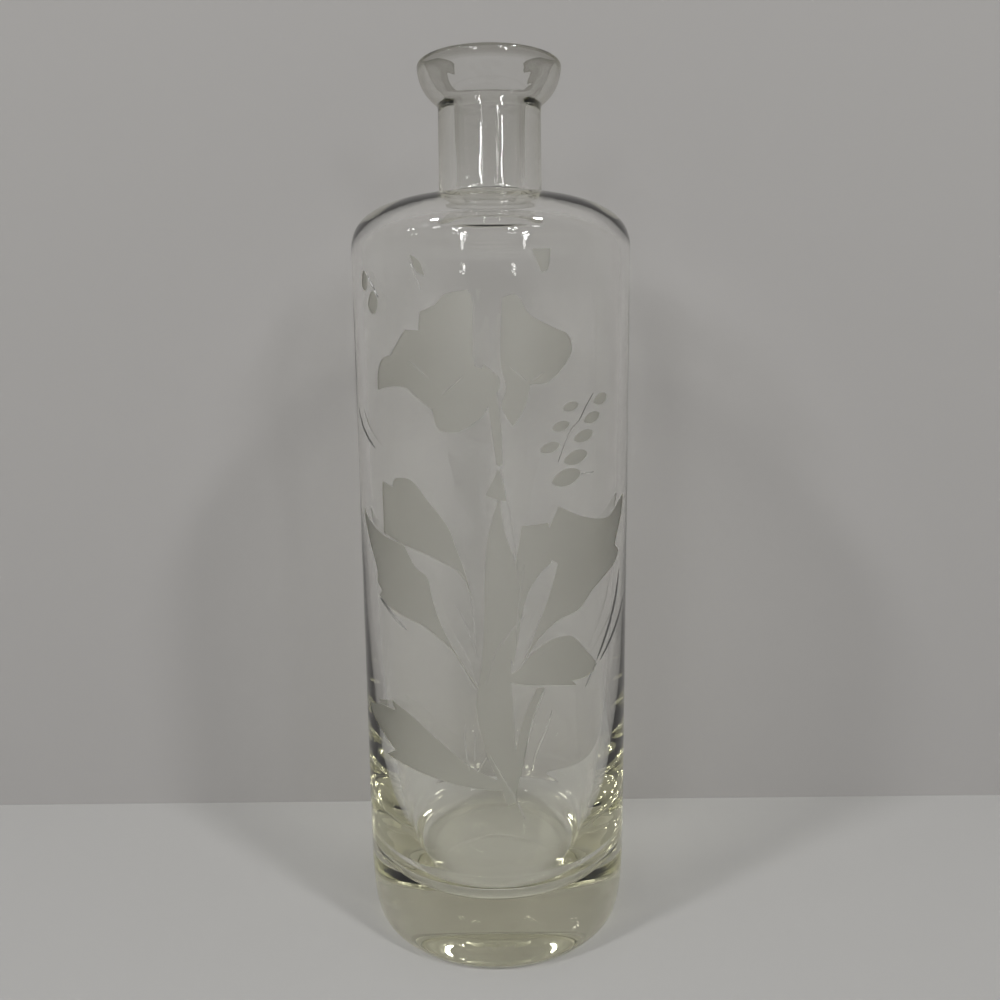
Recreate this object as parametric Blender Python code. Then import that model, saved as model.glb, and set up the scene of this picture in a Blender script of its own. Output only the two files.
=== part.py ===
# A tall glass decanter, blown in one piece: a thick heavy foot, a straight body, a low domed shoulder,
# a short neck and a flared mouth. Its wall is thin at the side and swells towards the foot and the neck.
# Metres, +Z up. The origin is the centre of the foot, in the plane that the decanter stands on.

import math

import bmesh
import bpy
from mathutils import Vector
from mathutils.geometry import interpolate_bezier

# Outside
bodyDiameter = 0.0800
bodyHeight = 0.2184
heelWidth = 0.0059
heelHeight = 0.0275
shoulderDrop = 0.0154
roofSlope = math.radians(5.9)
neckFootFillet = 0.0015
neckFootDiameter = 0.0294
neckDiameter = 0.0291
neckLength = 0.0240
mouthDiameter = 0.0405
mouthDepth = 0.0116
lipThickness = 0.0022

# Under the foot: a flat ring to stand on, round a shallow hollow
standRingWidth = 0.0041
kickDepth = 0.0020

# Inside
bodyWall = 0.0030
evenWallLength = 0.0230
shoulderWall = 0.0036
neckWall = 0.0048
throatDiameter = 0.0290
boreLength = 0.0160
funnelDepth = 0.0130
footWall = 0.0120
footThickness = 0.0170
floorCorner = 0.0040
floorCrown = 0.0030

# How each curve leaves its two ends: a share of the way to the corner that it rounds off
heelFullness = (0.76, 0.92)
shoulderFullness = (0.57, 0.82)
throatFullness = (0.80, 0.60)
vaultFullness = (0.84, 0.52)
taperFullness = (0.50, 0.50)

# How the mouth's two curves leave their ends: a direction off the vertical, and how far they hold it
lipLean = math.radians(3.9)
lipPull = 0.0077
flarePull = 0.0020
funnelLean = math.radians(24)
funnelLipPull = 0.0050
funnelBorePull = 0.0020

# Facets
sides = 64
curveSteps = 7
domeSteps = 5
filletSteps = 4
lipSteps = 6
weldDistance = 0.000001
sharpAngle = math.radians(40)

bodyRadius = bodyDiameter / 2
standRadius = bodyRadius - heelWidth
neckRadius = neckDiameter / 2
lipRadius = lipThickness / 2
lipCentre = (mouthDiameter / 2 - lipRadius, bodyHeight + neckLength + mouthDepth - lipRadius)
shoulderFoot = bodyHeight - shoulderDrop
boreRadius = neckRadius - neckWall
innerRadius = bodyRadius - bodyWall
floorRadius = bodyRadius - footWall


def bend(start, startHandle, endHandle, end):
    # A smooth stretch of the outline, as pairs of radius and height.
    knots = [Vector((*pair, 0)) for pair in (start, startHandle, endHandle, end)]
    return [(point.x, point.y) for point in interpolate_bezier(*knots, curveSteps + 1)]


def towards(start, corner, share):
    # The point this share of the way from start to corner.
    return tuple(a + (b - a) * share for a, b in zip(start, corner))


def roundOff(start, corner, end, fullness):
    # A bend that runs straight at the corner from both its ends.
    return bend(start, towards(start, corner, fullness[0]), towards(end, corner, fullness[1]), end)


def arc(centre, radius, startAngle, endAngle, steps):
    turns = [startAngle + (endAngle - startAngle) * step / steps for step in range(steps + 1)]
    return [(centre[0] + radius * math.cos(turn), centre[1] + radius * math.sin(turn)) for turn in turns]


def roofPoint(radius, wall=0.0):
    # Where the sloping top of the shoulder, or the glass this far under it, passes a radius.
    return radius, bodyHeight - wall - (radius - neckFootDiameter / 2) * math.tan(roofSlope)


def dome(edge, rise):
    # A shallow bowed disc, from its edge to its middle.
    radius, height = edge
    shares = [step / domeSteps for step in range(domeSteps + 1)]
    return [(radius * (1 - share), height + rise * (1 - (1 - share) ** 2)) for share in shares]


def underside():
    # From the middle of the hollow to the inner edge of the flat ring.
    return dome((standRadius - standRingWidth, 0), kickDepth)[::-1]


def outerSide():
    # The heel, the straight side and the shoulder, going up to the neck.
    heel = roundOff((standRadius, 0), (bodyRadius, 0), (bodyRadius, heelHeight), heelFullness)
    filletAngle = 1.5 * math.pi - roofSlope
    filletRadius = neckFootDiameter / 2 + neckFootFillet
    filletFoot = roofPoint(filletRadius + neckFootFillet * math.cos(filletAngle))
    filletCentre = (filletRadius, filletFoot[1] - neckFootFillet * math.sin(filletAngle))
    shoulder = roundOff((bodyRadius, shoulderFoot), roofPoint(bodyRadius), filletFoot, shoulderFullness)
    return heel + shoulder + arc(filletCentre, neckFootFillet, filletAngle, math.pi, filletSteps)


def flare():
    # The mouth's outer curve, from the neck to the lip.
    neckTop = (neckRadius, bodyHeight + neckLength)
    lipEdge = (lipCentre[0] + lipRadius, lipCentre[1])
    lipHandle = (lipEdge[0] - lipPull * math.sin(lipLean), lipEdge[1] - lipPull * math.cos(lipLean))
    return bend(neckTop, (neckRadius, neckTop[1] + flarePull), lipHandle, lipEdge)


def funnel():
    # The mouth's inner curve, from the lip down to the bore.
    lipEdge = (lipCentre[0] - lipRadius, lipCentre[1])
    lipHandle = (
        lipEdge[0] - funnelLipPull * math.sin(funnelLean),
        lipEdge[1] - funnelLipPull * math.cos(funnelLean),
    )
    boreTop = (boreRadius, lipCentre[1] + lipRadius - funnelDepth)
    return bend(lipEdge, lipHandle, (boreRadius, boreTop[1] + funnelBorePull), boreTop)


def innerShoulder():
    # The bore's foot opening out under the shoulder, and the shoulder's inside.
    boreFoot = (boreRadius, lipCentre[1] + lipRadius - funnelDepth - boreLength)
    throatFoot = roofPoint(throatDiameter / 2, shoulderWall)
    throat = roundOff(boreFoot, roofPoint(boreRadius, shoulderWall), throatFoot, throatFullness)
    sideTop = (innerRadius, shoulderFoot)
    corner = roofPoint(innerRadius, shoulderWall)
    return throat + roundOff(throatFoot, corner, sideTop, vaultFullness)


def innerSide():
    # The wall swelling in towards the foot, the corner at its bottom and the bowed floor.
    taperTop = (innerRadius, shoulderFoot - evenWallLength)
    taperFoot = (floorRadius, footThickness + floorCorner)
    topHandle = towards(taperTop, (innerRadius, taperFoot[1]), taperFullness[0])
    footHandle = towards(taperFoot, (floorRadius, taperTop[1]), taperFullness[1])
    cornerCentre = (floorRadius - floorCorner, taperFoot[1])
    corner = arc(cornerCentre, floorCorner, 0, -math.pi / 2, filletSteps)
    return bend(taperTop, topHandle, footHandle, taperFoot) + corner + dome(corner[-1], floorCrown)


def turned(outline, name):
    # The outline carried once round the vertical axis, as one closed mesh.
    shape = bmesh.new()
    points = [shape.verts.new((radius, 0, height)) for radius, height in outline]
    edges = [shape.edges.new(pair) for pair in zip(points, points[1:])]
    bmesh.ops.spin(
        shape,
        geom=points + edges,
        cent=(0, 0, 0),
        axis=(0, 0, 1),
        angle=2 * math.pi,
        steps=sides,
    )
    bmesh.ops.remove_doubles(shape, verts=shape.verts, dist=weldDistance)
    bmesh.ops.recalc_face_normals(shape, faces=shape.faces)
    mesh = bpy.data.meshes.new(name)
    shape.to_mesh(mesh)
    shape.free()
    mesh.shade_smooth()
    mesh.set_sharp_from_angle(angle=sharpAngle)
    return mesh


def vesselGlass():
    # Old soda glass with a faint olive cast.
    material = bpy.data.materials.new("vessel_glass")
    material.use_nodes = True
    surface = material.node_tree.nodes["Principled BSDF"]
    surface.inputs["Base Color"].default_value = (0.82, 0.84, 0.76, 1)
    surface.inputs["Roughness"].default_value = 0.03
    surface.inputs["Metallic"].default_value = 0
    surface.inputs["IOR"].default_value = 1.5
    surface.inputs["Transmission Weight"].default_value = 1
    return material


def glassVessel():
    # Body, foot, shoulder, neck and mouth are one wall of glass, so they are one solid.
    lip = arc(lipCentre, lipRadius, 0, math.pi, lipSteps)
    outline = underside() + outerSide() + flare() + lip + funnel() + innerShoulder() + innerSide()
    mesh = turned(outline, "glass_vessel")
    mesh.materials.append(vesselGlass())
    vessel = bpy.data.objects.new("glass_vessel", mesh)
    bpy.context.scene.collection.objects.link(vessel)


for leftover in list(bpy.data.objects):
    bpy.data.objects.remove(leftover)
glassVessel()
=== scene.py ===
import math

import bmesh
import bpy
import numpy as np
from mathutils import Matrix, Vector
from mathutils.geometry import delaunay_2d_cdt, interpolate_bezier


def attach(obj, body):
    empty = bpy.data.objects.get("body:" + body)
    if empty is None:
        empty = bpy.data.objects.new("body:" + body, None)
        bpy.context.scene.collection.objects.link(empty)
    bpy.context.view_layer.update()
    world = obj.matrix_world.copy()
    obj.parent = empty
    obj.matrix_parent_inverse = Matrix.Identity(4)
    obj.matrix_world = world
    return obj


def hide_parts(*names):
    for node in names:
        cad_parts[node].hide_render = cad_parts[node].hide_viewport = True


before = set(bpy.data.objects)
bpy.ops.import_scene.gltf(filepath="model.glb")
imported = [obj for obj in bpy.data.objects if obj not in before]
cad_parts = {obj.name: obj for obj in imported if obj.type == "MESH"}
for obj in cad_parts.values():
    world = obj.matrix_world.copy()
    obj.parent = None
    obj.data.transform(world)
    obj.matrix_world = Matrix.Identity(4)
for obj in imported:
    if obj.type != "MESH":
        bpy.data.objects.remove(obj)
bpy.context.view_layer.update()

# The whole decanter is one wall of glass. Sizes are in metres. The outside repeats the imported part's, and the
# inside of the foot, the taper and the shoulder follows the photograph more closely.
vessel = {
    "bodyDiameter": 0.0800,
    "bodyHeight": 0.2184,
    "heelWidth": 0.0059,
    "heelHeight": 0.0275,
    "heelFullness": (0.76, 0.92),
    "shoulderDrop": 0.0154,
    "shoulderFullness": (0.57, 0.82),
    "roofSlope": math.radians(5.9),
    "neckFootFillet": 0.0015,
    "neckFootDiameter": 0.0294,
    "neckDiameter": 0.0291,
    "neckLength": 0.0240,
    "mouthDiameter": 0.0405,
    "mouthDepth": 0.0116,
    "lipThickness": 0.0022,
    "lipLean": math.radians(3.9),
    "lipPull": 0.0077,
    "flarePull": 0.0020,
    "funnelDepth": 0.0130,
    "funnelLean": math.radians(24),
    "funnelLipPull": 0.0050,
    "funnelBorePull": 0.0020,
    "standRingWidth": 0.0041,
    "kickDepth": 0.0020,
    "bodyWall": 0.0030,
    "evenWallLength": 0.0230,
    "shoulderWall": 0.0034,
    "vaultFullness": (0.84, 0.52),
    "neckWall": 0.0048,
    "throatDiameter": 0.0290,
    "throatFullness": (0.80, 0.60),
    "boreLength": 0.0160,
    "taperFullness": (0.92, 0.02),
    "footWall": 0.0105,
    "footThickness": 0.0170,
    "floorCorner": 0.0095,
    "floorCrown": 0.0030,
    "standGap": 0.0001,      # keeps the foot's ring clear of the floor, so that light still gets under it
    "sides": 192,
    "curveSteps": 22,
    "smallSteps": 10,
    "lipSteps": 14,
    "floorSteps": 14,
    "ripple": 0.00016,       # how far the blown inside wanders from a true round
    "rippleSize": 34.0,
    "trueLipPoints": 6,      # the funnel's first points and the middle of the floor don't ripple
    "trueFloorRadius": 0.012,
    "striae": 0.00034,       # upright ribs that the blowing left in the bore
    "striaeSize": 420.0,
    "striaeFrom": 0.2185,
    "weld": 0.000004,
}


def bend(start, startHandle, endHandle, end, steps):
    # A smooth stretch of the outline, as pairs of radius and height.
    knots = [Vector((*pair, 0)) for pair in (start, startHandle, endHandle, end)]
    return [(point.x, point.y) for point in interpolate_bezier(*knots, steps + 1)]


def towards(start, corner, share):
    return tuple(a + (b - a) * share for a, b in zip(start, corner))


def between(start, end, steps):
    # The points of a straight stretch, without its ends.
    return [towards(start, end, step / steps) for step in range(1, steps)]


def roundOff(start, corner, end, fullness, steps):
    return bend(start, towards(start, corner, fullness[0]), towards(end, corner, fullness[1]), end, steps)


def arc(centre, radius, startAngle, endAngle, steps):
    turns = [startAngle + (endAngle - startAngle) * step / steps for step in range(steps + 1)]
    return [(centre[0] + radius * math.cos(turn), centre[1] + radius * math.sin(turn)) for turn in turns]


def dome(edge, rise, steps):
    # A shallow bowed disc, from its edge to its middle.
    radius, height = edge
    shares = [step / steps for step in range(steps + 1)]
    return [(radius * (1 - share), height + rise * (1 - (1 - share) ** 2)) for share in shares]


def glassOutlines(v):
    # Two open outlines that leave out the straight side: the foot and heel, and everything from the shoulder
    # on. The second comes in two parts, its outside and its inside.
    bodyRadius = v["bodyDiameter"] / 2
    neckRadius = v["neckDiameter"] / 2
    footNeck = v["neckFootDiameter"] / 2
    lipRadius = v["lipThickness"] / 2
    standRadius = bodyRadius - v["heelWidth"]
    shoulderFoot = v["bodyHeight"] - v["shoulderDrop"]
    lipHeight = v["bodyHeight"] + v["neckLength"] + v["mouthDepth"] - lipRadius
    lipMiddle = (v["mouthDiameter"] / 2 - lipRadius, lipHeight)
    boreRadius = neckRadius - v["neckWall"]
    innerRadius = bodyRadius - v["bodyWall"]
    floorRadius = bodyRadius - v["footWall"]
    steps = v["curveSteps"]

    def roof(radius, wall=0.0):
        return radius, v["bodyHeight"] - wall - (radius - footNeck) * math.tan(v["roofSlope"])

    def leaning(point, pull, lean):
        return point[0] - pull * math.sin(lean), point[1] - pull * math.cos(lean)

    under = dome((standRadius - v["standRingWidth"], 0), v["kickDepth"], v["floorSteps"])[::-1]
    heelTop = (bodyRadius, v["heelHeight"])
    heel = roundOff((standRadius, 0), (bodyRadius, 0), heelTop, v["heelFullness"], steps)

    filletTurn = 1.5 * math.pi - v["roofSlope"]
    fillet = v["neckFootFillet"]
    filletFoot = roof(footNeck + fillet + fillet * math.cos(filletTurn))
    filletMiddle = (footNeck + fillet, filletFoot[1] - fillet * math.sin(filletTurn))
    sideEnd = (bodyRadius, shoulderFoot)
    shoulder = roundOff(sideEnd, roof(bodyRadius), filletFoot, v["shoulderFullness"], steps)
    neckFoot = arc(filletMiddle, fillet, filletTurn, math.pi, v["smallSteps"])

    neckTop = (neckRadius, v["bodyHeight"] + v["neckLength"])
    neck = between(neckFoot[-1], neckTop, 8)
    lipOutside = (lipMiddle[0] + lipRadius, lipHeight)
    flareHandle = leaning(lipOutside, v["lipPull"], v["lipLean"])
    flare = bend(neckTop, (neckRadius, neckTop[1] + v["flarePull"]), flareHandle, lipOutside, steps)
    lip = arc(lipMiddle, lipRadius, 0, math.pi, v["lipSteps"])

    lipInside = (lipMiddle[0] - lipRadius, lipHeight)
    boreTop = (boreRadius, lipHeight + lipRadius - v["funnelDepth"])
    funnelHandle = leaning(lipInside, v["funnelLipPull"], v["funnelLean"])
    funnel = bend(lipInside, funnelHandle, (boreRadius, boreTop[1] + v["funnelBorePull"]), boreTop, steps)

    boreFoot = (boreRadius, boreTop[1] - v["boreLength"])
    bore = between(boreTop, boreFoot, 4)
    throatFoot = roof(v["throatDiameter"] / 2, v["shoulderWall"])
    throatCorner = roof(boreRadius, v["shoulderWall"])
    throat = roundOff(boreFoot, throatCorner, throatFoot, v["throatFullness"], steps)
    sideTop = (innerRadius, shoulderFoot)
    innerCorner = roof(innerRadius, v["shoulderWall"])
    vault = roundOff(throatFoot, innerCorner, sideTop, v["vaultFullness"], steps)

    taperTop = (innerRadius, shoulderFoot - v["evenWallLength"])
    taperFoot = (floorRadius, v["footThickness"] + v["floorCorner"])
    upperHandle = towards(taperTop, (innerRadius, taperFoot[1]), v["taperFullness"][0])
    lowerHandle = towards(taperFoot, (floorRadius, taperTop[1]), v["taperFullness"][1])
    evenWall = between(sideTop, taperTop, 6)
    taper = bend(taperTop, upperHandle, lowerHandle, taperFoot, 3 * steps)
    cornerMiddle = (floorRadius - v["floorCorner"], taperFoot[1])
    corner = arc(cornerMiddle, v["floorCorner"], 0, -math.pi / 2, v["smallSteps"])
    floor = dome(corner[-1], v["floorCrown"], v["floorSteps"])

    outside = shoulder + neckFoot + neck + flare + lip
    inside = funnel + bore + throat + vault + evenWall + taper + corner + floor
    return under + heel, outside, inside


# The wheel-cut spray, in millimetres: across from the middle of the front, measured round the glass, and up
# from the foot. A knot with a third number is a corner. The others are rounded.
spray = {
    "leaves": {
        "lowLeftLeaf": [
            (-49, 72.2, 1), (-44, 73.3), (-38, 75), (-31.3, 75.3, 1), (-33, 78, 1), (-25, 75.5),
            (-15.5, 69.6), (-10.5, 66), (-6, 62.8), (0, 60), (5, 57.8, 1), (3, 56.4, 1), (-8, 57.4),
            (-20, 59), (-30, 60.2), (-36, 60.7, 1), (-31.6, 63.2, 1), (-38.8, 67), (-45.5, 69.8),
        ],
        "lowRightLeaf": [
            (2, 88.6, 1), (6.8, 91.3), (9.9, 95), (14.7, 98), (19.5, 98.8), (23, 97.8), (28, 92.5),
            (31.4, 89, 1), (30.5, 86.6, 1), (26.5, 85.6), (22.4, 85.6, 1), (24, 83.9, 1), (16, 85.6),
            (6.8, 86.8),
        ],
        "highRightLeaf": [
            (47.4, 134.6, 1), (45.6, 129), (42.4, 124), (40.8, 120.9, 1), (43.5, 118.8, 1), (41.2, 116),
            (34.5, 112.8), (29, 109.6), (24.6, 105.6), (17.5, 103.4), (12, 99), (7.4, 92.4, 1),
            (9.4, 96.4), (12.6, 104.4), (15.6, 112.2), (17.7, 119.2, 1), (15.4, 121), (14.4, 127),
            (17.9, 134.6, 1), (26, 131), (36, 129.4), (43.2, 133),
        ],
        "middleRightLeaf": [
            (7.5, 130, 1), (15, 130.4, 1), (15.5, 124), (15.7, 119.6, 1), (13, 117.6), (9.4, 112.6),
            (7.6, 107), (6.6, 101.5), (5, 92, 1), (3, 100), (4.2, 112), (6, 121),
        ],
        "highLeftLeaf": [
            (-47.3, 131.4, 1), (-41.4, 128), (-34, 125.2), (-26, 123.8), (-25.2, 122.6, 1), (-22, 118),
            (-18.3, 115.6), (-17, 110), (-14.5, 103), (-9.5, 94), (-3.6, 85, 1), (-6, 88), (-11, 95.6),
            (-15.5, 99.4), (-20.8, 102.4), (-25.8, 103.4, 1), (-33, 105.6), (-37.4, 107.6, 1),
            (-35.8, 109.4, 1), (-38.4, 111.4, 1), (-38.2, 115), (-41.5, 120.6), (-45.2, 126.6),
        ],
        "backLeaf": [
            (-34, 140.4, 1), (-29.6, 139.2, 1), (-28.4, 141.6), (-22.8, 141.5), (-18.2, 137),
            (-12.2, 130.1), (-10, 124.5), (-7.6, 118), (-5.4, 110, 1), (-8.6, 117), (-12, 119.4),
            (-17.5, 121.6), (-25.8, 123.8), (-34, 126, 1),
        ],
        "stem": [
            (-1.5, 127, 1), (1.6, 138, 1), (3.2, 128), (5.2, 121.9), (6.4, 112.5), (4.6, 100),
            (4.4, 88), (5.4, 70), (5.6, 53, 1), (3.2, 52, 1), (0.4, 60), (-2.6, 68), (-5, 80),
            (-3.4, 92), (-2.6, 105), (-2.2, 118),
        ],
        "bud": [(1.5, 145.2, 1), (-1.8, 138.2, 1), (0.8, 137.2), (3.4, 136.6, 1), (3, 141)],
        "rightStalk": [
            (13.6, 85.3, 1), (11.4, 85.4, 1), (7.5, 76), (4.2, 62, 1), (5.6, 56, 1), (7.6, 64),
            (9.9, 75.2),
        ],
        "flowerLeft": [
            (-5.8, 190.2, 1), (-4.5, 187), (-4.7, 176), (-4.2, 171.4, 1), (-2, 170.4), (1.4, 169.2),
            (2.2, 166.6), (0.6, 163.4), (-0.9, 161.4, 1), (-2.6, 158.6), (-7, 155.5), (-10.4, 154.6),
            (-14.4, 155.6), (-15.7, 160.4, 1), (-20, 163.2), (-24, 165.9), (-30, 166), (-34.8, 165, 1),
            (-34.5, 169.6), (-32.4, 173.2), (-28.9, 174.2, 1), (-25.1, 178.8), (-23.6, 180.6, 1),
            (-19.2, 180.4, 1), (-18.8, 185, 1), (-14.6, 186.6), (-11.6, 189.2),
        ],
        "flowerRight": [
            (3, 188.2, 1), (6.6, 188.8), (10, 184), (17, 180.6), (20.6, 179), (21.8, 175), (18.4, 170),
            (14.4, 166.8, 1), (10, 166.6, 1), (8.6, 161), (5.4, 156, 1), (2.6, 161), (3.8, 165.6),
            (2.4, 171.4, 1), (2.5, 178),
        ],
        "smallLeft": [(-21.4, 199.4, 1), (-18.6, 197.6), (-17, 193.8, 1), (-19.6, 195.4)],
        "smallRight": [(10.5, 200, 1), (15.6, 200.2, 1), (14.8, 195.2), (13, 194.6, 1)],
        "ovalFar": [(-41, 196.6), (-38.6, 194.6), (-39.4, 191.4), (-42, 192.6)],
        "ovalNear": [(-36.4, 191), (-33.6, 188.6), (-35.4, 185), (-38.6, 187.2)],
        "longStalk": [
            (-2.4, 171), (0.4, 170, 1), (2.2, 158), (2.6, 146, 1), (1.2, 146, 1), (-0.4, 158),
        ],
    },
    "leaflets": [                      # middle across, middle up, length, width
        (32.4, 162.2, 6.0, 3.0), (29.0, 157.4, 6.3, 2.9), (26.0, 152.7, 7.0, 3.1), (23.3, 147.2, 8.0, 3.7),
        (20.4, 142.1, 9.3, 4.5), (21.6, 160.6, 5.0, 2.4), (18.6, 155.6, 5.4, 2.6), (15.4, 150.2, 5.8, 2.8),
    ],
    "leafletTilt": math.radians(14),
    "leafletPinch": 0.25,              # how much narrower than an oval its ends are
    "leafletSteps": 16,
    "lines": [                         # the width in millimetres, then the knots of each fine cut
        (0.5, [(-10.6, 109.3), (-8.2, 105.4), (-4.9, 95.8)]),
        (0.5, [(-10.1, 99.4), (-7, 93.8), (-4.8, 86.6)]),
        (0.4, [(-9.5, 93.8), (-7, 88.8), (-5.2, 85.4)]),
        (0.5, [(8.4, 106.3), (4.3, 101.3), (0.8, 96.4), (-1, 91.9), (-2.5, 87)]),
        (0.4, [(13, 106), (9.9, 98.8), (8, 94)]),
        (0.4, [(-12, 119.6), (-8.4, 117.2), (-6.4, 112), (-5.4, 104), (-4.6, 94)]),
        (0.5, [(4.3, 148.8), (2.4, 145.6), (2.9, 140.6), (4.4, 133.8), (6.1, 121.9), (6.6, 113)]),
        (0.5, [(8.2, 120), (7.2, 113), (6.2, 104), (5.6, 97)]),
        (0.5, [(-8.2, 76), (-8.2, 70), (-7.2, 62)]),
        (0.4, [(-5.4, 74), (-5.8, 65)]),
        (0.5, [(-2.2, 67), (-5.2, 61.4)]),
        (0.6, [(-1.6, 67), (1.4, 61.4), (5.6, 53.4), (8, 47.6)]),
        (0.6, [(16, 78.6), (14, 73), (11.4, 67.4), (9.8, 61.6)]),
        (0.5, [(13.9, 85.3), (10.2, 76.2), (7.6, 64.2)]),
        (0.5, [(-22.9, 173.1), (-16.4, 168.1)]),
        (0.4, [(-7, 169), (-13.3, 163.8)]),
        (0.5, [(4.6, 171.3), (9.8, 166.8)]),
        (0.4, [(14.3, 170), (10.4, 167.4)]),
        (0.5, [(-38.6, 195.4), (-33, 189)]),
        (0.4, [(-21.4, 197.6), (-18, 190)]),
        (0.4, [(29.6, 164), (26.8, 160.6), (24.3, 156.9), (21.1, 153.8), (17.6, 146)]),
        (0.5, [(32, 88.6), (30, 87), (27, 82.5)]),
        (0.5, [(24.6, 142.6), (30, 142.8)]),
    ],
    "blades": [                        # wedge cuts, widest in the middle
        (1.7, [(44.5, 113.5), (42, 106), (38, 99), (31.6, 89.2)]),
        (1.4, [(49.4, 103.8), (45, 99.6), (40, 95), (33, 88.8)]),
        (1.6, [(-37.6, 107.2), (-33.4, 105), (-28.4, 101.6), (-25.6, 99.8)]),
        (1.2, [(-50, 160), (-45.6, 155), (-40.8, 151.4), (-37, 149)]),
    ],
    "knotGap": 1.1,            # how closely a smooth line is followed
    "clearance": 0.55,         # how near to a cut's edge a point of the plain wall may stand
    "rimWidth": 0.00032,       # the sloped edge of a leaf, in metres, as the depths are
    "rows": 78,
    "leafDepth": 0.00016,
    "lineDepth": 0.00020,
    # How matt each kind of face is: turned glass, side, leaf, line, line in a leaf, rim. From the fourth on,
    # the kinds are slopes.
    "frostOf": (0, 0, 1, 0.5, 0.8, 1),
    "firstSlope": 3,
}


def smoothLine(knots, closed, gap):
    # A line through the knots, rounded at each that isn't marked as a corner.
    points = [Vector(knot[:2]) for knot in knots]
    count = len(points)
    sharp = [len(knot) > 2 for knot in knots]
    line = []
    for i in range(count if closed else count - 1):
        j = (i + 1) % count
        here, there = points[i], points[j]
        before = points[i - 1] if closed or i else here
        after = points[(j + 1) % count] if closed or j + 1 < count else there
        leave = (there - here) if sharp[i] else (there - before) * 0.5
        reach = (there - here) if sharp[j] else (after - here) * 0.5
        knotsOfBend = [Vector((*p, 0)) for p in (here, here + leave / 3, there - reach / 3, there)]
        steps = max(1, round((there - here).length / gap))
        line += [point.xy for point in interpolate_bezier(*knotsOfBend, steps + 1)[:-1]]
    return line if closed else line + [points[-1]]


def ribbon(knots, width, gap, pointed):
    # A slender cut round a line: its outline, and the line that its bottom follows. A pointed one swells
    # towards its middle, and another keeps nearly the same width.
    middle = smoothLine(knots, False, gap)
    last = len(middle) - 1
    left, right = [], []
    for i, point in enumerate(middle[1:-1], 1):
        along = (middle[i + 1] - middle[i - 1]).normalized()
        share = math.sin(math.pi * i / last) ** (0.8 if pointed else 0.35)
        side = Vector((-along.y, along.x)) * width * 0.5 * share
        left.append(point + side)
        right.append(point - side)
    return [middle[0]] + left + [middle[-1]] + right[::-1], middle


def leaflet(across, up, length, width, s):
    tilt = Matrix.Rotation(s["leafletTilt"], 2)
    ring = []
    for step in range(s["leafletSteps"]):
        angle = 2 * math.pi * step / s["leafletSteps"]
        pull = 1 - s["leafletPinch"] * math.cos(angle) ** 2
        ring.append(tilt @ Vector((length / 2 * math.cos(angle), width / 2 * math.sin(angle) * pull)))
    return [Vector((across, up)) + point for point in ring]


def leftTurning(ring, first):
    # The numbers of a ring's points, in the order that keeps its inside on the left.
    area = sum(here.cross(after) for here, after in zip(ring, ring[1:] + ring[:1]))
    order = list(range(first, first + len(ring)))
    return order if area > 0 else order[::-1]


def cutPanel(v, s):
    # The straight side rolled out flat, with every cut as its own faces.
    gap = s["knotGap"]
    half = math.pi * v["bodyDiameter"] / 2 * 1000
    low = v["heelHeight"] * 1000
    high = (v["bodyHeight"] - v["shoulderDrop"]) * 1000
    areas = [smoothLine(knots, True, gap) for knots in s["leaves"].values()]
    areas += [leaflet(*size, s) for size in s["leaflets"]]
    grooves = [ribbon(knots, width, gap, False) for width, knots in s["lines"]]
    grooves += [ribbon(knots, width, gap, True) for width, knots in s["blades"]]

    points, edges, faces = [], [], []
    for ring in areas:
        faces.append(leftTurning(ring, len(points)))
        points += ring
    bottoms = set()
    for ring, middle in grooves:
        first = len(points)
        faces.append(leftTurning(ring, first))
        points += ring
        deep = list(range(len(points), len(points) + len(middle) - 2))
        points += middle[1:-1]
        chain = [first] + deep + [first + len(middle) - 1]
        edges += list(zip(chain, chain[1:]))
        bottoms |= set(deep)

    columns = np.linspace(-half, half, v["sides"] + 1)
    rows = np.linspace(low, high, s["rows"])
    grid = np.array([(x, y) for y in rows for x in columns])
    onEdge = (grid[:, 1] == rows[0]) | (grid[:, 1] == rows[-1])
    cutPoints = np.array([tuple(point) for point in points])
    # Taken in batches, to need little memory.
    nearest = np.concatenate([
        np.hypot(part[:, None, 0] - cutPoints[:, 0], part[:, None, 1] - cutPoints[:, 1]).min(axis=1)
        for part in np.array_split(grid, 20)
    ])
    grid = grid[onEdge | (nearest > s["clearance"])]
    every = [Vector(point) for point in points] + [Vector(point) for point in grid]
    found, _, triangles, origins, _, sources = delaunay_2d_cdt(every, edges, faces, 0, 1e-5, True)
    deep = [float(any(i in bottoms for i in origin)) for origin in origins]
    leafy = [any(i < len(areas) for i in source) for source in sources]
    grooved = [any(i >= len(areas) for i in source) for source in sources]
    return found, triangles, deep, leafy, grooved


def newTree(name, inputs):
    tree = bpy.data.node_groups.new(name, "GeometryNodeTree")
    tree.interface.new_socket("Geometry", in_out="INPUT", socket_type="NodeSocketGeometry")
    for label, kind in inputs:
        tree.interface.new_socket(label, in_out="INPUT", socket_type=kind)
    tree.interface.new_socket("Geometry", in_out="OUTPUT", socket_type="NodeSocketGeometry")
    return tree


def addNode(tree, kind, wires=(), **settings):
    # A node with its settings, and a wire or a plain value for each input named.
    node = tree.nodes.new(kind)
    for label, value in settings.items():
        setattr(node, label, value)
    for socket, source in dict(wires).items():
        if isinstance(source, bpy.types.NodeSocket):
            tree.links.new(source, node.inputs[socket])
        else:
            node.inputs[socket].default_value = source
    return node


def mathNode(tree, operation, *values):
    return addNode(tree, "ShaderNodeMath", dict(enumerate(values)), operation=operation).outputs[0]


def noiseNode(tree, place, scale, detail):
    return addNode(tree, "ShaderNodeTexNoise", {"Vector": place, "Scale": scale, "Detail": detail}).outputs[0]


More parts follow.
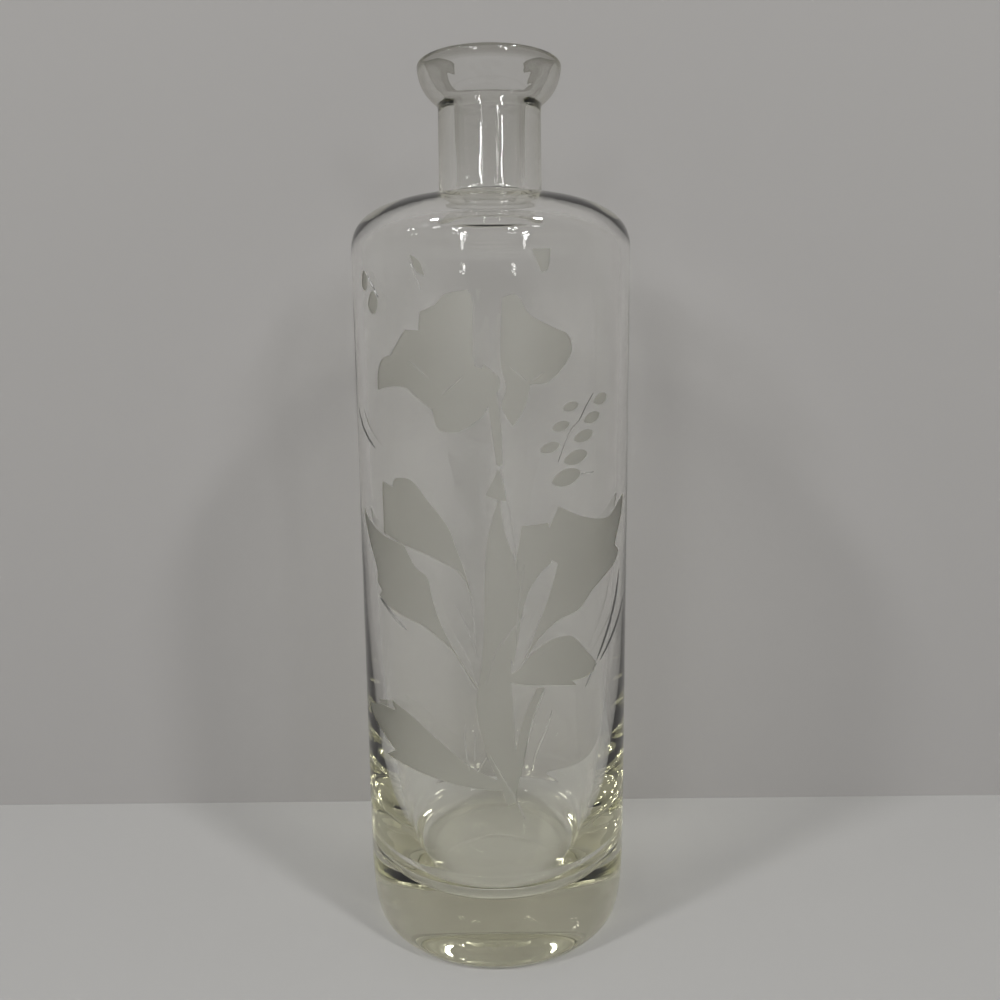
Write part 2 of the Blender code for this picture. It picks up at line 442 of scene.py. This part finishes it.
def rangeNode(tree, value, low, high, toLow=0.0, toHigh=1.0):
    wires = {"Value": value, "From Min": low, "From Max": high, "To Min": toLow, "To Max": toHigh}
    return addNode(tree, "ShaderNodeMapRange", wires).outputs[0]


def colorMix(tree, share, first, second):
    # Each of the two colours is a wire or three numbers.
    wires = {"Factor": share}
    for socket, color in ((6, first), (7, second)):
        wires[socket] = color if isinstance(color, bpy.types.NodeSocket) else (*color, 1)
    return addNode(tree, "ShaderNodeMix", wires, data_type="RGBA").outputs[2]


def storedNode(tree, name):
    return addNode(tree, "GeometryNodeInputNamedAttribute", {"Name": name}, data_type="FLOAT").outputs[0]


def closeTree(tree, geometry, place, given):
    # Moves the points to their places, welds what meets there, and makes it glass.
    placed = addNode(tree, "GeometryNodeSetPosition", {"Geometry": geometry, "Position": place}).outputs[0]
    welding = {"Geometry": placed, "Distance": given["Weld"]}
    welded = addNode(tree, "GeometryNodeMergeByDistance", welding).outputs[0]
    realized = addNode(tree, "GeometryNodeRealizeInstances", {0: welded}).outputs[0]
    coating = {"Geometry": realized, "Material": given["Glass"]}
    coated = addNode(tree, "GeometryNodeSetMaterial", coating).outputs[0]
    tree.links.new(coated, addNode(tree, "NodeGroupOutput").inputs[0])


def turningTree():
    # Carries an outline once round the upright axis. Where the outline is marked as inside, the glass
    # ripples, and above a set height it has ribs too.
    tree = newTree("turnGlass", [
        ("Sides", "NodeSocketInt"), ("Ripple", "NodeSocketFloat"), ("Ripple size", "NodeSocketFloat"),
        ("Striae", "NodeSocketFloat"), ("Striae size", "NodeSocketFloat"), ("Striae from", "NodeSocketFloat"),
        ("Weld", "NodeSocketFloat"), ("Glass", "NodeSocketMaterial"),
    ])
    given = tree.nodes.new("NodeGroupInput").outputs
    count = addNode(tree, "GeometryNodeAttributeDomainSize", {0: given["Geometry"]}).outputs["Point Count"]
    around = mathNode(tree, "ADD", given["Sides"], 1)
    grid = addNode(tree, "GeometryNodeMeshGrid", {"Vertices X": count, "Vertices Y": around}).outputs["Mesh"]
    index = tree.nodes.new("GeometryNodeInputIndex").outputs[0]
    row = mathNode(tree, "FLOOR", mathNode(tree, "DIVIDE", mathNode(tree, "ADD", index, 0.5), around))
    column = mathNode(tree, "SUBTRACT", index, mathNode(tree, "MULTIPLY", row, around))
    share = mathNode(tree, "SUBTRACT", mathNode(tree, "DIVIDE", column, given["Sides"]), 0.5)
    turn = mathNode(tree, "MULTIPLY", share, 2 * math.pi)

    here = tree.nodes.new("GeometryNodeInputPosition").outputs[0]
    sampled = addNode(
        tree, "GeometryNodeSampleIndex",
        {"Geometry": given["Geometry"], "Value": here, "Index": row}, data_type="FLOAT_VECTOR",
    ).outputs["Value"]
    inside = addNode(
        tree, "GeometryNodeSampleIndex",
        {"Geometry": given["Geometry"], "Value": storedNode(tree, "inside"), "Index": row}, data_type="FLOAT",
    ).outputs["Value"]
    split = addNode(tree, "ShaderNodeSeparateXYZ", {0: sampled}).outputs
    across = mathNode(tree, "SINE", turn)
    forward = mathNode(tree, "MULTIPLY", mathNode(tree, "COSINE", turn), -1)

    def ringPoint(radius):
        x = mathNode(tree, "MULTIPLY", radius, across)
        y = mathNode(tree, "MULTIPLY", radius, forward)
        return addNode(tree, "ShaderNodeCombineXYZ", {0: x, 1: y, 2: split[2]}).outputs[0]

    blown = addNode(
        tree, "ShaderNodeTexNoise",
        {"Vector": ringPoint(split[0]), "Scale": given["Ripple size"], "Detail": 1.0, "Roughness": 0.4},
    ).outputs[0]
    swell = mathNode(tree, "MULTIPLY", mathNode(tree, "SUBTRACT", blown, 0.5), given["Ripple"])
    # Squeezing the height stretches the second noise into upright ribs.
    upright = addNode(
        tree, "ShaderNodeVectorMath", {0: ringPoint(split[0]), 1: (1.0, 1.0, 0.05)}, operation="MULTIPLY",
    ).outputs[0]
    ribbed = addNode(
        tree, "ShaderNodeTexNoise",
        {"Vector": upright, "Scale": given["Striae size"], "Detail": 2.0, "Roughness": 0.6},
    ).outputs[0]
    above = mathNode(tree, "GREATER_THAN", split[2], given["Striae from"])
    ribs = mathNode(tree, "MULTIPLY", mathNode(tree, "SUBTRACT", ribbed, 0.5), given["Striae"])
    swell = mathNode(tree, "ADD", swell, mathNode(tree, "MULTIPLY", ribs, above))
    radius = mathNode(tree, "ADD", split[0], mathNode(tree, "MULTIPLY", swell, inside))
    closeTree(tree, grid, ringPoint(radius), given)
    return tree


def wrappingTree():
    # Wraps the flat panel round the body, and sinks each cut by its own share of the depth.
    tree = newTree("wrapCuts", [
        ("Body radius", "NodeSocketFloat"), ("Weld", "NodeSocketFloat"), ("Glass", "NodeSocketMaterial"),
    ])
    given = tree.nodes.new("NodeGroupInput").outputs
    here = tree.nodes.new("GeometryNodeInputPosition").outputs[0]
    flat = addNode(tree, "ShaderNodeSeparateXYZ", {0: here}).outputs
    turn = mathNode(tree, "DIVIDE", flat[0], given["Body radius"])
    radius = mathNode(tree, "SUBTRACT", given["Body radius"], storedNode(tree, "sunk"))
    x = mathNode(tree, "MULTIPLY", radius, mathNode(tree, "SINE", turn))
    y = mathNode(tree, "MULTIPLY", radius, mathNode(tree, "MULTIPLY", mathNode(tree, "COSINE", turn), -1))
    place = addNode(tree, "ShaderNodeCombineXYZ", {0: x, 1: y, 2: flat[1]}).outputs[0]
    closeTree(tree, given["Geometry"], place, given)
    return tree


def grow(mesh, tree, values):
    # Runs a tree on a mesh and gives back the result as a plain mesh.
    source = bpy.data.objects.new(mesh.name, mesh)
    bpy.context.scene.collection.objects.link(source)
    modifier = source.modifiers.new(tree.name, "NODES")
    modifier.node_group = tree
    for item in tree.interface.items_tree:
        if item.in_out == "INPUT" and item.name in values:
            modifier[item.identifier] = values[item.name]
    graph = bpy.context.evaluated_depsgraph_get()
    whole = source.evaluated_get(graph)
    grown = bpy.data.meshes.new_from_object(whole, preserve_all_data_layers=True, depsgraph=graph)
    bpy.data.objects.remove(source)
    return grown


def outlineMesh(name, outline, inside):
    mesh = bpy.data.meshes.new(name)
    points = [(radius, 0, height) for radius, height in outline]
    mesh.from_pydata(points, [(i, i + 1) for i in range(len(points) - 1)], [])
    marks = mesh.attributes.new("inside", "FLOAT", "POINT")
    marks.data.foreach_set("value", inside)
    return mesh


def panelMesh(v, s):
    # The flat panel in metres. Leaves get a sloped rim, and each point knows how far its cut is sunk. A face
    # is 0 on the plain side, 1 in a leaf, 2 in a line, 3 where a line crosses a leaf, and 4 on a leaf's rim.
    found, triangles, deep, leafy, grooved = cutPanel(v, s)
    shape = bmesh.new()
    deepLayer = shape.verts.layers.float.new("deep")
    sunkLayer = shape.verts.layers.float.new("sunk")
    cutLayer = shape.faces.layers.int.new("cut")
    verts = [shape.verts.new((point.x / 1000, point.y / 1000, 0)) for point in found]
    for vert, amount in zip(verts, deep):
        vert[deepLayer] = amount
    for corners, isLeaf, isGroove in zip(triangles, leafy, grooved):
        shape.faces.new([verts[i] for i in corners])[cutLayer] = isLeaf + 2 * isGroove
    leaves = [face for face in shape.faces if face[cutLayer] in (1, 3)]
    rims = bmesh.ops.inset_region(shape, faces=leaves, thickness=s["rimWidth"], use_even_offset=True)["faces"]
    for face in rims:
        face[cutLayer] = 4
    for vert in shape.verts:
        kinds = {face[cutLayer] for face in vert.link_faces}
        inLeaf = kinds <= {1, 3, 4} and kinds != {4} and bool(kinds & {1, 3})
        vert[sunkLayer] = s["leafDepth"] * inLeaf + s["lineDepth"] * (vert[deepLayer] > 0.5)
    bmesh.ops.triangulate(shape, faces=rims)
    mesh = bpy.data.meshes.new("cutPanel")
    shape.to_mesh(mesh)
    shape.free()
    return mesh


def readValues(mesh, name, count):
    values = np.zeros(count, np.int32)
    mesh.attributes[name].data.foreach_get("value", values)
    return values


def joinedMesh(meshes):
    points, faces = [], []
    for mesh in meshes:
        first = len(points)
        points += [vert.co[:] for vert in mesh.vertices]
        faces += [[first + i for i in face.vertices] for face in mesh.polygons]
    joined = bpy.data.meshes.new("joined")
    joined.from_pydata(points, [], faces)
    return joined


def decanterGlass(v, s, glass):
    under, outside, inside = glassOutlines(v)
    fade = [min(1.0, radius / v["trueFloorRadius"]) for radius, height in inside]
    fade[:v["trueLipPoints"]] = [0.0] * v["trueLipPoints"]
    turnGlass = turningTree()
    turning = {
        "Sides": v["sides"], "Weld": v["weld"], "Glass": glass,
        "Ripple": v["ripple"], "Ripple size": v["rippleSize"],
        "Striae": v["striae"], "Striae size": v["striaeSize"], "Striae from": v["striaeFrom"],
    }
    foot = grow(outlineMesh("foot", under, [0.0] * len(under)), turnGlass, turning)
    upper = grow(outlineMesh("upper", outside + inside, [0.0] * len(outside) + fade), turnGlass, turning)
    wrapping = {"Body radius": v["bodyDiameter"] / 2, "Weld": v["weld"], "Glass": glass}
    side = grow(panelMesh(v, s), wrappingTree(), wrapping)

    # Turned glass is 0 from here on, and the panel's kinds of face follow from 1.
    joined = joinedMesh([foot, upper, side])
    marks = np.zeros(len(joined.polygons), np.int32)
    marks[-len(side.polygons):] = readValues(side, "cut", len(side.polygons)) + 1
    joined.attributes.new("cut", "INT", "FACE").data.foreach_set("value", marks)
    shape = bmesh.new()
    shape.from_mesh(joined)
    cutLayer = shape.faces.layers.int["cut"]
    bmesh.ops.remove_doubles(shape, verts=shape.verts, dist=v["weld"])
    bmesh.ops.recalc_face_normals(shape, faces=shape.faces)
    if shape.calc_volume(signed=True) < 0:
        bmesh.ops.reverse_faces(shape, faces=shape.faces)
    bmesh.ops.translate(shape, verts=shape.verts, vec=(0, 0, v["standGap"]))
    print("open edges", sum(1 for edge in shape.edges if len(edge.link_faces) != 2))
    frostLayer = shape.faces.layers.float.new("frost")
    for face in shape.faces:
        face[frostLayer] = s["frostOf"][face[cutLayer]]
    mesh = bpy.data.meshes.new("decanter_glass")
    shape.to_mesh(mesh)
    shape.free()
    mesh.materials.clear()
    mesh.materials.append(glass)
    mesh.shade_smooth()

    # On the straight side the glass is turned true, so its normals point straight out, except in the cuts'
    # slopes.
    cut = readValues(mesh, "cut", len(mesh.polygons))
    normals = [tuple(corner.vector) for corner in mesh.corner_normals]
    for face in mesh.polygons:
        if not cut[face.index]:
            continue
        for corner in face.loop_indices:
            place = mesh.vertices[mesh.loops[corner].vertex_index].co
            outward = Vector((place.x, place.y, 0)).normalized()
            normals[corner] = tuple(outward if cut[face.index] < s["firstSlope"] else face.normal)
    mesh.normals_split_custom_set(normals)
    mesh.attributes.remove(mesh.attributes["cut"])
    piece = bpy.data.objects.new("decanter_glass", mesh)
    bpy.context.scene.collection.objects.link(piece)
    return piece


# Old glass: clear and matt surfaces, an olive cast in its depth, a pale shadow and some painted shade. Heights
# are in metres.
finish = {
    "ior": 1.5,
    "glassTint": (0.80, 0.79, 0.58),
    "tintDensity": 12.0,
    "clearRoughness": 0.0,
    "cloudSize": 46.0,
    "smearRange": (0.56, 0.78),     # which clouds leave a faint smear
    "smearRoughness": 0.05,
    "frostRoughness": 0.42,
    "frostSpread": 0.05,
    "frostTransmission": 0.80,
    "frostColor": (0.53, 0.527, 0.478),
    # Painted shade: the matt cuts darken towards the sides of the body, away from the front.
    "sideShadeColor": (0.42, 0.415, 0.36),
    "sideShadeReach": 0.036,             # how far out the matt cuts have fully taken their painted side shade
    "sideShadePatches": 0.02,            # and how far the clouds shift that
    "grainSize": 420.0,
    "grainRange": (0.3, 0.7),
    "toothSize": 1600.0,
    "toothHeight": 0.00002,
    "waveSize": 26.0,
    "waveHeight": 0.00003,
    # Painted shade: the clear glass darkens towards the edges of the mouth and the shoulder, and evenly over
    # the mouth and lip.
    "paintedEdgeShade": (0.30, 0.29, 0.22),
    "edgeFrom": 0.28,               # how far the glass must be turned away before the painted edge shade begins
    "edgePower": 1.3,
    "edgeHeights": (0.216, 0.236),
    "mouthPaintedShade": 0.15,
    "lipPaintedShade": 0.36,
    "lipHeights": (0.2512, 0.2522),
    "shadowClear": (0.76, 0.76, 0.75),
    "shadowFoot": (0.30, 0.30, 0.29),
    "shadowHeights": (0.016, 0.030),
    "shadowEdge": (0.15, 0.15, 0.14),
    "shadowFrost": (0.70, 0.70, 0.69),
}


def oldGlass(f):
    # One material, because clear and matt glass share one body. The cuts are marked on the mesh.
    material = bpy.data.materials.new("vessel_glass_old")
    material.use_nodes = True
    tree = material.node_tree
    surface = tree.nodes["Principled BSDF"]
    result = tree.nodes["Material Output"]
    surface.inputs["IOR"].default_value = f["ior"]
    place = addNode(tree, "ShaderNodeTexCoord").outputs["Object"]
    across, _, height = addNode(tree, "ShaderNodeSeparateXYZ", {0: place}).outputs
    frost = addNode(tree, "ShaderNodeAttribute", attribute_name="frost").outputs["Fac"]
    facing = addNode(tree, "ShaderNodeLayerWeight", {"Blend": 0.5}).outputs["Facing"]

    def byFrost(clear, matt):
        wires = {"Factor": frost, "A": clear, "B": matt}
        return addNode(tree, "ShaderNodeMix", wires, data_type="FLOAT").outputs[0]

    grain = noiseNode(tree, place, f["grainSize"], 3.0)
    cloud = noiseNode(tree, place, f["cloudSize"], 2.0)
    smear = rangeNode(tree, cloud, *f["smearRange"], 0.0, f["smearRoughness"])
    clear = mathNode(tree, "ADD", smear, f["clearRoughness"])
    finest, coarsest = f["frostRoughness"] - f["frostSpread"], f["frostRoughness"] + f["frostSpread"]
    matt = rangeNode(tree, grain, *f["grainRange"], finest, coarsest)
    tree.links.new(byFrost(clear, matt), surface.inputs["Roughness"])
    tree.links.new(byFrost(1.0, f["frostTransmission"]), surface.inputs["Transmission Weight"])

    # The edges of the mouth and the shoulder look through the most glass and get painted shade: the clear
    # glass's colour darkens as they turn away, and the mouth and lip carry an even painted shade on top.
    turned = rangeNode(tree, facing, f["edgeFrom"], 1.0)
    high = rangeNode(tree, height, *f["edgeHeights"])
    lip = rangeNode(tree, height, *f["lipHeights"])
    mouthShade = mathNode(tree, "ADD", mathNode(tree, "MULTIPLY", lip, f["lipPaintedShade"]), f["mouthPaintedShade"])
    edge = mathNode(tree, "ADD", mathNode(tree, "POWER", turned, f["edgePower"]), mouthShade)
    edge = mathNode(tree, "MULTIPLY", mathNode(tree, "MINIMUM", edge, 1.0), high)
    # Painted shade: the matt cuts darken towards the sides, and the clouds shift where it starts.
    patchy = mathNode(tree, "MULTIPLY", mathNode(tree, "SUBTRACT", cloud, 0.5), f["sideShadePatches"])
    sideways = mathNode(tree, "ADD", mathNode(tree, "ABSOLUTE", across), patchy)
    sideShade = rangeNode(tree, sideways, 0.0, f["sideShadeReach"])
    mattToneWithSideShade = colorMix(tree, sideShade, f["frostColor"], f["sideShadeColor"])
    clearToneWithShade = colorMix(tree, edge, (1, 1, 1), f["paintedEdgeShade"])
    tree.links.new(colorMix(tree, frost, clearToneWithShade, mattToneWithSideShade), surface.inputs["Base Color"])

    # Slow waves over the clear glass, and the fine tooth that the wheel leaves in the matt cuts.
    wave = noiseNode(tree, place, f["waveSize"], 1.0)
    tooth = noiseNode(tree, place, f["toothSize"], 2.0)
    toothy = mathNode(tree, "MULTIPLY", mathNode(tree, "MULTIPLY", tooth, frost), f["toothHeight"])
    relief = mathNode(tree, "ADD", mathNode(tree, "MULTIPLY", wave, f["waveHeight"]), toothy)
    bump = addNode(tree, "ShaderNodeBump", {"Height": relief, "Distance": 1.0, "Strength": 1.0}).outputs[0]
    tree.links.new(bump, surface.inputs["Normal"])

    # Most light goes through, so the shadow is pale inside and darker under the foot and along its edges.
    above = rangeNode(tree, height, *f["shadowHeights"])
    body = colorMix(tree, above, f["shadowFoot"], f["shadowClear"])
    rim = colorMix(tree, mathNode(tree, "POWER", facing, 2.0), body, f["shadowEdge"])
    veiled = colorMix(tree, frost, rim, f["shadowFrost"])
    passing = addNode(tree, "ShaderNodeBsdfTransparent", {"Color": veiled}).outputs[0]
    cast = addNode(tree, "ShaderNodeLightPath").outputs["Is Shadow Ray"]
    whole = addNode(tree, "ShaderNodeMixShader", {0: cast, 1: surface.outputs[0], 2: passing}).outputs[0]
    tree.links.new(whole, result.inputs["Surface"])

    tint = addNode(tree, "ShaderNodeVolumeAbsorption")
    tint.inputs["Color"].default_value = (*f["glassTint"], 1)
    tint.inputs["Density"].default_value = f["tintDensity"]
    tree.links.new(tint.outputs[0], result.inputs["Volume"])
    return material


# The room: a pale table, a pale wall close behind, and soft lamps high on both sides.
room = {
    "wallPlace": 0.062,
    "reach": 1.5,
    "tableColor": (0.40, 0.395, 0.385),
    "tableRoughness": 0.6,
    "wallColor": (0.318, 0.309, 0.300),
    "wallRoughness": 0.9,
    "paleSky": (0.30, 0.295, 0.285),
    "fill": (0.50, 0.50, 0.50),
    "lampPlaces": [(-1.04, -0.784, 1.384), (0.912, -0.912, 1.40)],
    "lampSize": 0.19,
    "lampWatts": 10.6,
    "middle": (0, 0, 0.17),             # what all the lamps aim at
    # Small far lamps, there for their sparkles: degrees to the side and above the level.
    "sparkleTurns": [
        (-69, 22), (-65, 24), (-29, 22), (-26, 19), (-24, 23), (15, 21), (18, 18), (20, 22),
        (-22, 9), (-20, 11), (-22, 13), (-19, 15), (27, 9), (29, 11), (26, 13), (28, 15.5),
    ],
    "sparkleReach": 1.5,
    "sparkleSize": 0.065,
    "sparkleWatts": 0.36,
}


def plainSurface(name, corners, color, roughness, oneSided=False):
    mesh = bpy.data.meshes.new(name)
    mesh.from_pydata(corners, [], [(0, 1, 2, 3)])
    material = bpy.data.materials.new(name)
    material.use_nodes = True
    tree = material.node_tree
    surface = tree.nodes["Principled BSDF"]
    surface.inputs["Base Color"].default_value = (*color, 1)
    surface.inputs["Roughness"].default_value = roughness
    if oneSided:    # from behind, the wall lets the decanter be seen
        clear = addNode(tree, "ShaderNodeBsdfTransparent").outputs[0]
        behind = addNode(tree, "ShaderNodeNewGeometry").outputs["Backfacing"]
        shown = addNode(tree, "ShaderNodeMixShader", {0: behind, 1: surface.outputs[0], 2: clear}).outputs[0]
        tree.links.new(shown, tree.nodes["Material Output"].inputs["Surface"])
    mesh.materials.append(material)
    piece = bpy.data.objects.new(name, mesh)
    bpy.context.scene.collection.objects.link(piece)


def studioSky(r):
    # A pale background to the eye, to the mirror and through the glass. The fill lights the matt surfaces,
    # also where their light comes through the glass.
    sky = bpy.data.worlds.new("sky")
    bpy.context.scene.world = sky
    sky.use_nodes = True
    tree = sky.node_tree
    path = addNode(tree, "ShaderNodeLightPath").outputs
    shown = mathNode(tree, "ADD", path["Is Camera Ray"], path["Is Glossy Ray"])
    shown = mathNode(tree, "MINIMUM", mathNode(tree, "ADD", shown, path["Is Transmission Ray"]), 1.0)
    shown = mathNode(tree, "MULTIPLY", shown, mathNode(tree, "LESS_THAN", path["Diffuse Depth"], 0.5))
    color = colorMix(tree, shown, r["fill"], r["paleSky"])
    tree.links.new(color, tree.nodes["Background"].inputs["Color"])
    tree.nodes["Background"].inputs["Strength"].default_value = 1.0


def addLamp(place, size, watts, aim):
    light = bpy.data.lights.new("lamp", "AREA")
    light.shape = "DISK"
    light.energy = watts
    light.size = size
    lamp = bpy.data.objects.new("lamp", light)
    bpy.context.scene.collection.objects.link(lamp)
    lamp.visible_camera = False
    lamp.location = place
    lamp.rotation_euler = (Vector(aim) - Vector(place)).to_track_quat("-Z", "Y").to_euler()


def makeRoom(r):
    w, back = r["reach"], r["wallPlace"]
    flat = [(-w, -w, 0), (w, -w, 0), (w, w, 0), (-w, w, 0)]
    upright = [(-w, back, 0), (w, back, 0), (w, back, w), (-w, back, w)]
    plainSurface("table", flat, r["tableColor"], r["tableRoughness"])
    plainSurface("wall", upright, r["wallColor"], r["wallRoughness"], oneSided=True)
    studioSky(r)
    for place in r["lampPlaces"]:
        addLamp(place, r["lampSize"], r["lampWatts"], r["middle"])
    for side, rise in r["sparkleTurns"]:
        turn = Matrix.Rotation(math.radians(side), 3, "Z") @ Matrix.Rotation(math.radians(-rise), 3, "X")
        place = Vector(r["middle"]) + turn @ Vector((0, -r["sparkleReach"], 0))
        addLamp(place, r["sparkleSize"], r["sparkleWatts"], r["middle"])


# The camera stands where the photograph's did.
view = {
    "place": (0.0019, -0.2704, 0.1760),
    "tilt": math.radians(9.56),
    "roll": math.radians(-0.58),
    "lens": 32.58,
    "sensor": 36.0,
    "nearest": 0.01,
}


def makeCamera(c):
    lens = bpy.data.cameras.new("camera")
    lens.sensor_fit = "HORIZONTAL"
    lens.sensor_width = c["sensor"]
    lens.lens = c["lens"]
    lens.clip_start = c["nearest"]
    camera = bpy.data.objects.new("camera", lens)
    bpy.context.scene.collection.objects.link(camera)
    upright = Matrix.Rotation(math.pi / 2 - c["tilt"], 4, "X") @ Matrix.Rotation(c["roll"], 4, "Z")
    camera.matrix_world = Matrix.Translation(c["place"]) @ upright
    bpy.context.scene.camera = camera


makeCamera(view)
makeRoom(room)
print("room, lamps and camera stand")
glass = oldGlass(finish)
print("old glass mixed")
decanter = decanterGlass(vessel, spray, glass)
print("decanter blown and cut:", len(decanter.data.polygons), "faces")
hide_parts("glass_vessel")
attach(decanter, "root")

# The thick foot turns light round many times before it leaves the glass.
scene = bpy.context.scene
scene.view_settings.view_transform = "Standard"
scene.cycles.max_bounces = 96
scene.cycles.transmission_bounces = 96
scene.cycles.glossy_bounces = 12
